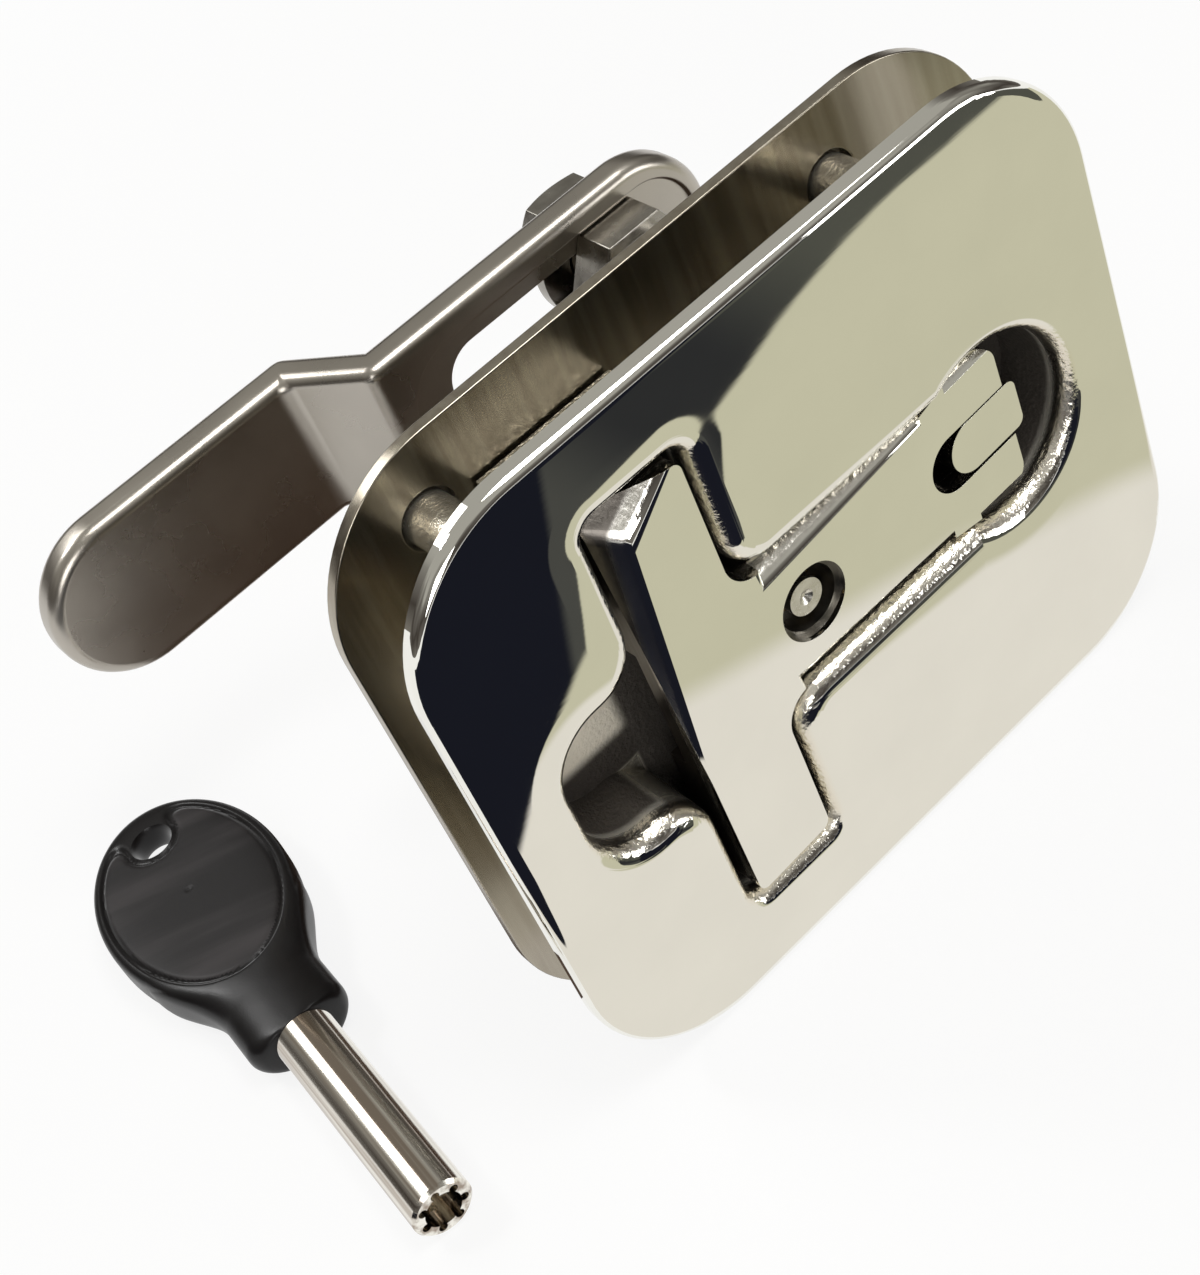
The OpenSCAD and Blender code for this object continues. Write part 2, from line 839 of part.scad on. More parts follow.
module pawl_screw() color([0.74, 0.74, 0.72]) {
    translate([lock_x, 0, 0]) {
        rod(pawl_y - 4.5, pawl_y + pawl_t + 1, pawl_screw_r);
        difference() {
            rod(pawl_y + pawl_t, pawl_y + pawl_t + 2, 3.6);
            translate([-4, pawl_y + pawl_t + 1, -0.5])
                cube([8, 2, 1]);
        }
    }
}

module lock_keeper() color([0.66, 0.66, 0.64]) {
    difference() {
        translate([keeper_x0, pan_y, keeper_z0])
            cube([keeper_x1 - keeper_x0, keeper_t, keeper_z1 - keeper_z0]);
        at_keeper_screws()
            rod(pan_y - eps, pan_y + keeper_t + eps, 1.5);
    }
}

module keeper_screws() color([0.74, 0.74, 0.72]) {
    at_keeper_screws() {
        rod(keeper_hole_y, pan_y + keeper_t + 1, 1.5);
        cone(pan_y + keeper_t, pan_y + keeper_t + 1.4, 2.6, 1.8);
    }
}

module place_key() {
    translate([key_x, key_y, key_z])
        rotate([0, 0, key_turn])
            children();
}

// oval outline of the bow
module bow_oval(l, w) {
    translate([bow_mid, 0])
        polygon([for (i = [0:59]) [l / 2 * cos(6 * i), w / 2 * sin(6 * i)]]);
}

// one side of the neck, drawn in with a soft curve
function neck_side(s) = [for (i = [0:10])
    let (t = i / 10)
    [neck_x0 + t * (neck_x1 - neck_x0), s * (bow_w / 2 - 1.4 + (neck_half - bow_w / 2 + 1.4) * t * t * (3 - 2 * t))]];

// outline of the neck and the collar
module neck_plan() {
    polygon([
        [bow_mid, -bow_w / 2 + 2],
        each neck_side(-1),
        [collar_x - 3, -collar_w / 2],
        [collar_x, -collar_w / 2 + 2.4],
        [collar_x, collar_w / 2 - 2.4],
        [collar_x - 3, collar_w / 2],
        each [for (i = [10:-1:0]) neck_side(1)[i]],
        [bow_mid, bow_w / 2 - 2]
    ]);
}

// area of the bow panel, drawn in round the ring hole
module panel_plan(inset) {
    difference() {
        bow_oval(bow_len - inset, bow_w - inset);
        translate([ring_hole_x, 0])
            circle(ring_hole_r + 1 + inset / 5);
    }
}

module key_bow() color([0.09, 0.09, 0.10]) {
    place_key()
        difference() {
            intersection() {
                translate([0, 0, -bow_t / 2])
                    linear_extrude(bow_t) {
                        bow_oval(bow_len, bow_w);
                        neck_plan();
                    }
                rotate([90, 0, 0])
                    linear_extrude(bow_w + 2, center = true)
                        polygon([
                            [bow_end_x, -bow_end_t / 2],
                            [bow_full_x, -bow_t / 2],
                            [collar_x + 1, -bow_t / 2],
                            [collar_x + 1, bow_t / 2],
                            [bow_full_x, bow_t / 2],
                            [bow_end_x, bow_end_t / 2]
                        ]);
            }
            for (s = [0, 1])
                mirror([0, 0, s])
                    translate([bow_full_x, 0, bow_t / 2])
                        rotate([0, -bow_taper, 0])
                            translate([-bow_full_x, 0, -bow_panel_t])
                                linear_extrude(bow_panel_t + 1)
                                    difference() {
                                        panel_plan(5);
                                        panel_plan(6.6);
                                    }
            translate([ring_hole_x, 0, -bow_t])
                cylinder(h = 2 * bow_t, r = ring_hole_r);
            for (s = [0, 1])
                mirror([0, 0, s])
                    translate([ring_hole_x, 0, ring_web / 2])
                        cylinder(h = 3, r1 = ring_hole_r, r2 = ring_hole_r + 3);
            translate([collar_x - shank_in, 0, 0])
                rotate([0, 90, 0])
                    cylinder(h = shank_in + 2, r = shank_r);
        }
}

module key_shank() color([0.80, 0.79, 0.76]) {
    tip_x = collar_x + shank_len;
    place_key()
        difference() {
            union() {
                translate([collar_x - shank_in, 0, 0])
                    rotate([0, 90, 0])
                        cylinder(h = shank_in + shank_len - 0.5, r = shank_r);
                translate([tip_x - 0.5, 0, 0])
                    rotate([0, 90, 0])
                        cylinder(h = 0.5, r1 = shank_r, r2 = shank_r - 0.5);
            }
            translate([tip_x - key_bore_len, 0, 0])
                rotate([0, 90, 0])
                    cylinder(h = key_bore_len + eps, r = key_bore_r);
            for (i = [0:6])
                rotate([i * 360 / 7, 0, 0])
                    translate([tip_x - 3 - (i % 3), 0, lock_pin_ring - 0.2])
                        rotate([0, 90, 0])
                            cylinder(h = 8, r = 0.7);
        }
}

front_plate();
backing_plate();
plate_screws();
plate_washers();
handle();
hinge_pin();
pivot_head();
spindle_bush();
spindle();
thrust_washer();
wave_washer();
spindle_clip();
hex_shoulder();
cam_arm();
cam_washer();
cam_bolt();
lock_shell();
lock_nut();
lock_rotor();
lock_pins();
lock_pawl();
pawl_screw();
lock_keeper();
keeper_screws();
key_bow();
key_shank();
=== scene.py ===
import json
import math

import bmesh
import bpy
from mathutils import Euler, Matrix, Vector

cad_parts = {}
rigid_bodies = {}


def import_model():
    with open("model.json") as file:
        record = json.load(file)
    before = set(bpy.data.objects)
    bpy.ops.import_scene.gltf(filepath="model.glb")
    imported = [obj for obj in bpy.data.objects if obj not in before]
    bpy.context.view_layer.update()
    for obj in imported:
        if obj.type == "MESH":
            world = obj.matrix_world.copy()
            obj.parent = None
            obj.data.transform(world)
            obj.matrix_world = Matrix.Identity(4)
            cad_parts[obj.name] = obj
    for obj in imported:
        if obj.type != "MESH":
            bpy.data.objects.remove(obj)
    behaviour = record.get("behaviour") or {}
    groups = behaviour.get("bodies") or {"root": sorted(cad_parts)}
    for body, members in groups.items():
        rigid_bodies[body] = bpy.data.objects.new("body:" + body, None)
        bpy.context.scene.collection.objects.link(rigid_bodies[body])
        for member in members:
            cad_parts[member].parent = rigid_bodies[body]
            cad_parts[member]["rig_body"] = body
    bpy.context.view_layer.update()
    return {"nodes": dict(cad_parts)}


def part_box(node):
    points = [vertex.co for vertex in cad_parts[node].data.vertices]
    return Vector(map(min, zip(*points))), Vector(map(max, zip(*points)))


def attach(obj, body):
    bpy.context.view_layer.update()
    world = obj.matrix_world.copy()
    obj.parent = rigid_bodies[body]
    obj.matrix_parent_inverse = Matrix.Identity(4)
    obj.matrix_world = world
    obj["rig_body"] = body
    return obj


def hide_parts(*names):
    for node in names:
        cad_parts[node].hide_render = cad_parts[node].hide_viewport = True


# The set: a white bench under the lower edges of both plates, with the key on it, and a viewer above it.
# The bench glows plain white to the eye and in mirrors, and takes the soft shadow of the catch.
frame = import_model()
nodes = frame["nodes"]
bench_z = -0.053

eye = bpy.data.cameras.new("eye")
eye.sensor_width = 36
eye.lens = 65.505
eye.shift_y = -0.12
eye.clip_start = 0.01
viewer = bpy.data.objects.new("eye", eye)
viewer.location = (-0.11576, -0.19710, 0.22203)
viewer.rotation_euler = Euler([math.radians(a) for a in (47.347, 18.544, -40.96)], "XYZ")
bpy.context.scene.collection.objects.link(viewer)
bpy.context.scene.camera = viewer
bpy.context.scene.view_settings.view_transform = "Standard"


def feed(tree, value, socket):
    """Sets a socket to a value, or links it to the output of another shader node."""
    if isinstance(value, bpy.types.NodeSocket):
        tree.links.new(value, socket)
    else:
        socket.default_value = value


def wire(tree, kind, settings=None, **inputs):
    """Adds a shader node, with its inputs by name."""
    made = tree.nodes.new("ShaderNode" + kind)
    for name, value in (settings or {}).items():
        setattr(made, name, value)
    for name, value in inputs.items():
        feed(tree, value, made.inputs[name.replace("_", " ")])
    return made


def sums(tree, operation, *values):
    """Adds a maths node."""
    made = tree.nodes.new("ShaderNodeMath")
    made.operation = operation
    for value, socket in zip(values, made.inputs):
        feed(tree, value, socket)
    return made.outputs[0]


def ramp(tree, value, start, full, low=0.0, high=1.0):
    """Runs smoothly from low to high as a value goes from start to full."""
    step = wire(tree, "MapRange", {"interpolation_type": "SMOOTHSTEP"}, Value=value,
                From_Min=start, From_Max=full, To_Min=low, To_Max=high)
    return step.outputs["Result"]


def new_paint(name):
    """A new material, with its node tree and its main shader."""
    paint = bpy.data.materials.new(name)
    paint.use_nodes = True
    return paint, paint.node_tree, paint.node_tree.nodes["Principled BSDF"]


def flat_sheet(name, x0, x1, y0, y1, z):
    """A level rectangle that belongs to the set."""
    mesh = bpy.data.meshes.new(name)
    mesh.from_pydata([(x0, y0, z), (x1, y0, z), (x1, y1, z), (x0, y1, z)], [], [(0, 1, 2, 3)])
    sheet = bpy.data.objects.new(name, mesh)
    bpy.context.scene.collection.objects.link(sheet)
    return sheet


bench_half = 3.0
under_key = 0.0002
bench = flat_sheet("bench", -bench_half, bench_half, -bench_half, bench_half, bench_z - under_key)
paper, t, skin = new_paint("white_bench")
skin.inputs["Base Color"].default_value = (0.82, 0.82, 0.81, 1)
skin.inputs["Roughness"].default_value = 0.9
skin.inputs["Specular IOR Level"].default_value = 0.0
path = wire(t, "LightPath")
mirrored = sums(t, "MAXIMUM", path.outputs["Is Glossy Ray"], path.outputs["Is Transmission Ray"])
seen = sums(t, "MAXIMUM", path.outputs["Is Camera Ray"], mirrored)
glow = wire(t, "Emission", Color=(1, 1, 1, 1), Strength=1.0)
from_middle = wire(t, "VectorMath", {"operation": "LENGTH"})
t.links.new(wire(t, "TexCoord").outputs["Object"], from_middle.inputs[0])
shadow_share = 0.14
shadow_near, shadow_far = 0.22, 0.75
plain_share = ramp(t, from_middle.outputs["Value"], shadow_near, shadow_far, 1 - shadow_share, 1.0)
either = wire(t, "MixShader", Fac=sums(t, "MULTIPLY", seen, plain_share))
t.links.new(skin.outputs[0], either.inputs[1])
t.links.new(glow.outputs[0], either.inputs[2])
t.links.new(either.outputs[0], t.nodes["Material Output"].inputs["Surface"])
bench.data.materials.append(paper)


# The light: a room that is dim at eye level and brighter overhead, and five soft lamps of a few watts.
# For the mirror faces, cards glow with painted reflections: cream before the plate, dark beyond it and to
# its left.
# A brown card under the cam arm glows with painted shade. Only mirrors see these cards.
def blend(tree, amount, under, over):
    """Mixes two colours, or two numbers, by an amount from 0 to 1."""
    mix = tree.nodes.new("ShaderNodeMix")
    number = isinstance(over, float)
    mix.data_type = "FLOAT" if number else "RGBA"
    for name, value in (("Factor", amount), ("A", under), ("B", over)):
        if isinstance(value, tuple):
            value = (*value, 1)
        feed(tree, value, mix.inputs[name])
    return mix.outputs["Result"]


room = bpy.data.worlds.new("room")
room.use_nodes = True
bpy.context.scene.world = room
t = room.node_tree
where = wire(t, "TexCoord").outputs["Generated"]
split = wire(t, "SeparateXYZ", Vector=where)
blotch = wire(t, "TexNoise", Vector=where, Scale=1.9, Detail=1.0)
blotch_share = 0.8
height = sums(t, "MULTIPLY_ADD", blotch.outputs["Fac"], blotch_share, split.outputs["Z"])
shades = wire(t, "ValToRGB", Fac=height)
room_tones = ((0.10, (0.30, 0.28, 0.25)), (0.40, (0.12, 0.11, 0.10)), (0.58, (0.055, 0.047, 0.041)),
              (0.78, (0.13, 0.12, 0.11)), (0.92, (0.24, 0.23, 0.21)), (1.0, (0.40, 0.39, 0.36)))
stops = shades.color_ramp.elements
while len(stops) < len(room_tones):
    stops.new(0.5)
for stop, (place, tone) in zip(stops, room_tones):
    stop.position = place
    stop.color = (*tone, 1)
looked_at = wire(t, "LightPath").outputs["Is Camera Ray"]
backdrop = blend(t, looked_at, shades.outputs["Color"], (1.0, 1.0, 1.0))
t.links.new(backdrop, t.nodes["Background"].inputs["Color"])

card_lift = 0.0004


def mirror_card(name, x0, x1, y0, y1):
    """A card just above the bench that only mirrors see."""
    card = flat_sheet(name, x0, x1, y0, y1, bench_z + card_lift)
    card.visible_camera = False
    card.visible_diffuse = False
    card.visible_shadow = False
    return card


def glow_with(tree, colour):
    """Lets a material give out a colour instead of being lit."""
    glow = wire(tree, "Emission", Color=colour)
    tree.links.new(glow.outputs[0], tree.nodes["Material Output"].inputs["Surface"])


# Painted reflection: these cards glow, cream near the plate and dark beyond it and to its left.
cards = mirror_card("mirror_cards", -0.6, 0.9, -1.2, -0.004)
card_paint, t, skin = new_paint("painted_reflection_cream_and_dark")
t.nodes.remove(skin)
where = wire(t, "TexCoord").outputs["Object"]
split = wire(t, "SeparateXYZ", Vector=where)
ripple = wire(t, "TexNoise", Vector=where, Scale=26, Detail=1.5).outputs["Fac"]


def past_line(slope, offset):
    """Distance of a point out past the line y = slope * x + offset."""
    line = sums(t, "MULTIPLY_ADD", split.outputs["X"], slope, offset)
    return sums(t, "SUBTRACT", line, split.outputs["Y"])


def wavy_step(past, soft):
    """Runs from 0 to 1 across an edge that waves a little."""
    wave = 0.006
    return ramp(t, sums(t, "MULTIPLY_ADD", ripple, wave, past), wave / 2 - soft, wave / 2 + soft)


left_edge, slanting_edge, far_edge = (-0.74, -0.0857), (-0.375, -0.0835), (-0.06, -0.1085)
corner_blend = 0.016
cream_reflection_edge = past_line(*left_edge)
for edge in (slanting_edge, far_edge):
    cream_reflection_edge = sums(t, "SMOOTH_MAX", cream_reflection_edge, past_line(*edge), corner_blend)
white_edge = (0.423, -0.0517)
# Painted reflection colours: white and cream near the plate, then grey, olive, dark and navy beyond.
reflected_white, reflected_cream = (0.84, 0.81, 0.755), (0.61, 0.595, 0.455)
sheet = blend(t, wavy_step(past_line(*white_edge), 0.004), reflected_white, reflected_cream)
reflected_grey, reflected_dark = (0.070, 0.071, 0.066), (0.028, 0.029, 0.031)
reflected_olive, reflected_navy = (0.085, 0.087, 0.074), (0.010, 0.011, 0.018)
fold_slope = 0.654
dark_reflection = blend(t, ramp(t, split.outputs["X"], 0.010, 0.036), reflected_grey, reflected_dark)
dark_reflection = blend(t, ramp(t, split.outputs["X"], 0.055, 0.095), dark_reflection, reflected_olive)
fold = sums(t, "MULTIPLY_ADD", split.outputs["Y"], fold_slope, split.outputs["X"])
dark_reflection = blend(t, ramp(t, fold, -0.0632, -0.0606), reflected_navy, dark_reflection)
glow_with(t, blend(t, wavy_step(cream_reflection_edge, 0.0009), sheet, dark_reflection))
cards.data.materials.append(card_paint)

# Painted shade: this card glows dark brown under the cam arm, for the shadow seen in mirrors.
shade_card = mirror_card("shade_card", -0.068, 0.075, 0.018, 0.108)
shade_paint, t, skin = new_paint("brown_shade_card")
t.nodes.remove(skin)
glow_with(t, (0.080, 0.055, 0.041, 1))
shade_card.data.materials.append(shade_paint)

for name, spot, aim, size, power in (
    ("window", (-0.42, 0.55, 0.80), (0, 0.05, 0), 0.16, 2.2),
    ("ceiling", (0.25, -0.25, 0.95), (0, 0.02, 0), 0.4, 4.5),
    ("front_fill", (-0.5, -0.8, 0.35), (0, 0, 0), 0.4, 2.6),
    ("low_fill", (0.45, -0.55, 0.02), (-0.03, 0, 0), 0.3, 1.6),
    ("back_window", (-0.22, 0.62, 0.62), (-0.06, 0.05, -0.03), 0.3, 1.3),
):
    lamp = bpy.data.lights.new(name, "AREA")
    lamp.size = size
    lamp.energy = power
    lamp_at = bpy.data.objects.new(name, lamp)
    lamp_at.location = spot
    lamp_at.rotation_euler = (Vector(aim) - Vector(spot)).to_track_quat("-Z", "Y").to_euler()
    bpy.context.scene.collection.objects.link(lamp_at)

# Front plate: one stainless casting with its T pocket, finger scoop and four fixing posts.
# The face is mirror polished and sinks a little towards the pocket, whose rolled rim is polished and lumpy.
# The pocket, the posts and the back keep the skin of the mould; the pocket is painted dark as shade,
# and the scoop is painted light above and painted dark along its lower side.
crossbar_pocket = ((-0.02275, 0.0), (0.00855, 0.0385), 0.0025)
scoop_pocket = ((-0.0370, 0.0), (0.0113, 0.0122), 0.0085)
stem_pocket = ((0.0080, 0.0), (0.0247, 0.0128), 0.0005)
round_well = ((0.0327, 0.0), (0.0150, 0.0150), 0.0150)


def grain(t, where, scale, detail=3.0, stretch=(1, 1, 1), turn=0.0):
    """Noise of so many grains to the metre, drawn out along the axes by the factors of stretch."""
    spread = wire(t, "Mapping", {"vector_type": "TEXTURE"}, Vector=where, Scale=stretch,
                  Rotation=(0, 0, turn))
    return wire(t, "TexNoise", Vector=spread.outputs[0], Scale=scale, Detail=detail).outputs["Fac"]


def dents(t, height, depth, under=None):
    """Raises a surface by up to depth metres, over what already shapes it."""
    bump = wire(t, "Bump", Height=height, Distance=depth, Strength=1.0)
    if under is not None:
        t.links.new(under, bump.inputs["Normal"])
    return bump.outputs[0]


def from_pocket(t, where):
    """Distance in metres from the upright wall of the pocket, each part by its middle, halves and corner."""
    nearest = None
    for (x, z), (half_x, half_z), round_r in (crossbar_pocket, scoop_pocket, stem_pocket, round_well):
        offset = wire(t, "VectorMath", {"operation": "SUBTRACT"})
        feed(t, where, offset.inputs[0])
        offset.inputs[1].default_value = (x, 0, z)
        folded = wire(t, "VectorMath", {"operation": "ABSOLUTE"})
        t.links.new(offset.outputs[0], folded.inputs[0])
        beyond = wire(t, "VectorMath", {"operation": "SUBTRACT"})
        t.links.new(folded.outputs[0], beyond.inputs[0])
        beyond.inputs[1].default_value = (half_x - round_r, 1, half_z - round_r)
        outside = wire(t, "VectorMath", {"operation": "MAXIMUM"})
        t.links.new(beyond.outputs[0], outside.inputs[0])
        length = wire(t, "VectorMath", {"operation": "LENGTH"})
        t.links.new(outside.outputs[0], length.inputs[0])
        gap = sums(t, "SUBTRACT", length.outputs["Value"], round_r)
        nearest = gap if nearest is None else sums(t, "MINIMUM", nearest, gap)
    return nearest


def polished_face(t, where):
    """Tone and roughness of the polish, which wander a little."""
    polish_colour = (0.86, 0.85, 0.79)
    broad = grain(t, where, 70, 4)
    tone = blend(t, broad, tuple(c * 0.95 for c in polish_colour), tuple(c * 1.04 for c in polish_colour))
    return tone, ramp(t, broad, 0.3, 0.7, 0.012, 0.035)


casting, t, skin = new_paint("mirror_polished_casting")
where = wire(t, "TexCoord").outputs["Object"]
place = wire(t, "SeparateXYZ", Vector=where)
depth = place.outputs["Y"]
gap = from_pocket(t, where)
face_tone, face_rough = polished_face(t, where)
lumps = grain(t, where, 1100, 3)
pits = grain(t, where, 1700, 4)
by_rim = sums(t, "MULTIPLY", ramp(t, depth, -0.0027, -0.0019), ramp(t, gap, 0.0036, 0.0046, 1.0, 0.0))
sunk = ramp(t, depth, 0.0004, 0.0026)
inside = ramp(t, gap, 0.0004, 0.0012, 1.0, 0.0)

post_dull, pocket_dull = 0.13, 0.75
dull = sums(t, "MULTIPLY_ADD", inside, pocket_dull - post_dull, post_dull)
t.links.new(sums(t, "SUBTRACT", 1.0, sums(t, "MULTIPLY", sunk, dull)), skin.inputs["Metallic"])

# Painted light and shade: the scoop is light above and dark along its lower side, and the rest of the pocket
# is painted dark.
scoop_painted_shade, scoop_painted_light, pocket_painted_shade = (0.06, 0.052, 0.045), (0.92, 0.86, 0.74), (0.07, 0.062, 0.054)
post_dark, post_light, rim_colour = (0.34, 0.31, 0.25), (0.84, 0.80, 0.69), (0.84, 0.80, 0.71)
scoop_tone = blend(t, ramp(t, place.outputs["Z"], -0.0080, -0.0056), scoop_painted_shade, scoop_painted_light)
pocket_tone = blend(t, ramp(t, place.outputs["X"], -0.0335, -0.0310), scoop_tone, pocket_painted_shade)
mould_and_painted_shade_tone = blend(t, inside, blend(t, pits, post_dark, post_light), pocket_tone)
rim_tone = blend(t, by_rim, face_tone, rim_colour)
t.links.new(blend(t, sunk, rim_tone, mould_and_painted_shade_tone), skin.inputs["Base Color"])

rim_rough = blend(t, by_rim, face_rough, 0.22)
mould_rough = ramp(t, inside, 0.0, 1.0, 0.24, 0.42)
rougher = sums(t, "SUBTRACT", mould_rough, rim_rough)
t.links.new(sums(t, "MULTIPLY_ADD", sunk, rougher, rim_rough), skin.inputs["Roughness"])

sink_start, sink_end, sink_depth = 0.0026, 0.0066, 0.00016
scratch_depth, lump_depth, pit_depth = 0.0000005, 0.00020, 0.00016
sink = wire(t, "MapRange", Value=gap, From_Min=sink_start, From_Max=sink_end, To_Min=1.0, To_Max=0.0)
dip = sums(t, "MULTIPLY", sums(t, "POWER", sink.outputs["Result"], 2.0), -1.0)
sinking = dents(t, dip, sink_depth)
scratches = dents(t, grain(t, where, 2200, 2, (20, 1, 1)), scratch_depth, sinking)
lumpy = dents(t, sums(t, "MULTIPLY", lumps, by_rim), lump_depth, scratches)
t.links.new(dents(t, sums(t, "MULTIPLY", pits, sunk), pit_depth, lumpy), skin.inputs["Normal"])


def dress(paint, *names):
    """Gives a material to solids that keep their own shape."""
    for name in names:
        slots = nodes[name].data.materials
        slots.clear()
        slots.append(paint)


dress(casting, "front_plate")


# T handle: cast in the same steel, its top face polished with the plate so that both mirror as one.
# The bevels are ground by hand and keep fine lines, and painted shade darkens the sides towards the pocket
# floor.
def broken_edges(node, paint, slot, *rounds):
    """The node's own solid with its sharp edges rounded.

    Each round has a width, a step count, an angle that counts as sharp and a test of an edge's middle.
    A round with a fifth value may go on past the end of a short edge.
    """
    mesh = nodes[node].data.copy()
    shape = bmesh.new()
    shape.from_mesh(mesh)
    bmesh.ops.remove_doubles(shape, verts=shape.verts, dist=2e-6)
    bmesh.ops.dissolve_limit(shape, angle_limit=math.radians(0.6), verts=shape.verts, edges=shape.edges)
    for width, steps, sharp, chosen, *past_ends in rounds:
        edges = [e for e in shape.edges if len(e.link_faces) == 2]
        edges = [e for e in edges if math.degrees(e.calc_face_angle(0)) > sharp]
        edges = [e for e in edges if chosen((e.verts[0].co + e.verts[1].co) / 2)]
        bmesh.ops.bevel(shape, geom=edges, offset=width, segments=steps, profile=0.5, affect="EDGES",
                        clamp_overlap=not past_ends)
    for f in shape.faces:
        f.smooth = True
    shape.to_mesh(mesh)
    shape.free()
    mesh.set_sharp_from_angle(angle=math.radians(32))
    piece = bpy.data.objects.new(node + "_finished", mesh)
    bpy.context.scene.collection.objects.link(piece)
    mesh.materials.clear()
    mesh.materials.append(paint)
    flat = piece.modifiers.new("flat_faces", "WEIGHTED_NORMAL")
    flat.keep_sharp = True
    flat.weight = 100
    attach(piece, nodes[node]["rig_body"])
    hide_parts(node)


def anywhere(point):
    return True


handle_paint, t, skin = new_paint("polished_handle")
skin.inputs["Metallic"].default_value = 1.0
where = wire(t, "TexCoord").outputs["Object"]
split = wire(t, "SeparateXYZ", Vector=where)
face_y, face_fall = -0.003, math.tan(math.radians(2.2))
bar_x0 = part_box("handle")[0][0]
level = sums(t, "MULTIPLY_ADD", split.outputs["X"], -face_fall, split.outputs["Y"])
below = sums(t, "SUBTRACT", level, face_y - bar_x0 * face_fall)
face_tone, face_rough = polished_face(t, where)
streaks = grain(t, where, 900, 3, (1, 1, 8))
ground = ramp(t, below, 0.0004, 0.0010)
on_bar = ramp(t, split.outputs["X"], -0.0150, -0.0165)
# Painted shade: the side walls darken towards the pocket floor.
wall = blend(t, on_bar, ramp(t, below, 0.0024, 0.0036), ramp(t, below, 0.0017, 0.0026))
line_dark, line_light, wall_painted_shade = (0.58, 0.555, 0.50), (1.0, 0.98, 0.92), (0.13, 0.118, 0.105)
ground_tone = blend(t, ground, face_tone, blend(t, streaks, line_dark, line_light))
t.links.new(blend(t, wall, ground_tone, wall_painted_shade), skin.inputs["Base Color"])
ground_rough, wall_rough, line_depth = 0.15, 0.30, 0.00006
t.links.new(blend(t, wall, blend(t, ground, face_rough, ground_rough), wall_rough), skin.inputs["Roughness"])
t.links.new(dents(t, sums(t, "MULTIPLY", streaks, ground), line_depth), skin.inputs["Normal"])


def at_ground_corner(point):
    """The upper edges of the bevel at the end of the crossbar, and its corner with the long bevel."""
    return point.z > 0.030 and -0.0297 < point.x < -0.0195 and point.y < -0.0003


def along_stem(point):
    """The upper edge and the start of the two long bevels of the stem."""
    return -0.0108 < point.x < 0.0216 and 0.0090 < abs(point.z) < 0.0112 and point.y < -0.0010


broken_edges("handle", handle_paint, "polished_cast", (0.0015, 6, 12, at_ground_corner, True),
             (0.0010, 5, 40, along_stem, True), (0.0005, 3, 25, anywhere))

# Pivot head and hinge pin: the tongue stands in the fork, and the pin goes through both from side to side.
# The tongue is polished flush with the handle, and the pin is plain ground rod.
broken_edges("pivot_head", handle_paint, "polished_cast", (0.0007, 3, 25, anywhere))


def worked_metal(name, dark, light, polish, scale=90, stretch=(1, 1, 1), depth=0.000004, fine=5000):
    """A metal that wanders between two tones and two roughnesses, along its grain."""
    paint, t, skin = new_paint(name)
    skin.inputs["Metallic"].default_value = 1.0
    where = wire(t, "TexCoord").outputs["Object"]
    broad = grain(t, where, scale, 4, stretch)
    t.links.new(blend(t, ramp(t, broad, 0.2, 0.8), dark, light), skin.inputs["Base Color"])
    t.links.new(ramp(t, broad, 0.2, 0.8, polish[0], polish[1]), skin.inputs["Roughness"])
    t.links.new(dents(t, grain(t, where, fine, 3, stretch), depth), skin.inputs["Normal"])
    return paint


ground_rod = worked_metal("ground_rod", (0.40, 0.385, 0.35), (0.62, 0.60, 0.56), (0.16, 0.28),
                          scale=140, stretch=(1, 10, 1))
dress(ground_rod, "hinge_pin")

# Lock: a shell pressed in the handle and held by a nut, with a centre post and a ring of pins in its bore.
# The bore is dull from plating, the post is bright from the key, and the pins and the nut are brass.
plated = worked_metal("plated_lock", (0.07, 0.065, 0.058), (0.17, 0.16, 0.14), (0.3, 0.45), scale=300)
bright_post = worked_metal("lock_post", (0.50, 0.48, 0.43), (0.72, 0.70, 0.64), (0.22, 0.36),
                           scale=500, depth=0.00002, fine=1800)
brass = worked_metal("turned_brass", (0.50, 0.36, 0.17), (0.66, 0.50, 0.26), (0.2, 0.32), scale=200)
dress(plated, "lock_shell", "lock_pawl")
dress(bright_post, "lock_rotor")
dress(brass, "lock_pins", "lock_nut")
dress(ground_rod, "pawl_screw", "lock_keeper", "keeper_screws")

# Clamp plate: a sheet of the same outline that pulls up behind the door on four screws with wide washers.
# It is brushed from top to bottom, and its cut edge is broken.
brushed = worked_metal("brushed_sheet", (0.33, 0.292, 0.235), (0.43, 0.395, 0.325), (0.19, 0.26),
                       scale=500, stretch=(1, 1, 20), depth=0.000002, fine=2600)
broken_edges("backing_plate", brushed, "satin_plate", (0.0006, 3, 30, anywhere))
screw_steel = worked_metal("screw_steel", (0.40, 0.39, 0.36), (0.58, 0.57, 0.54), (0.2, 0.34), scale=160)
dress(screw_steel, "plate_screws", "plate_washers")

# Spindle: ground bar in a flanged brass bush, kept by a thrust washer, a spring washer and a clip.
# It reaches from the pivot head to the cam arm.
dress(ground_rod, "spindle")
dress(brass, "spindle_bush")
dress(screw_steel, "thrust_washer", "wave_washer")
dress(plated, "spindle_clip")

# Cam arm: a tumbled casting with a stepped paddle, slotted for the bolt, on the spindle's hexagon shoulder.
# Its outer edges are well rounded and rubbed bright, and a bolt with a washer holds it from behind.
tumbled = worked_metal("tumbled_casting", (0.42, 0.39, 0.345), (0.50, 0.465, 0.41), (0.25, 0.32),
                       scale=60, depth=0.000008, fine=3200)
slot_x0, slot_x1, slot_clear = -0.0020, 0.0395, 0.0108


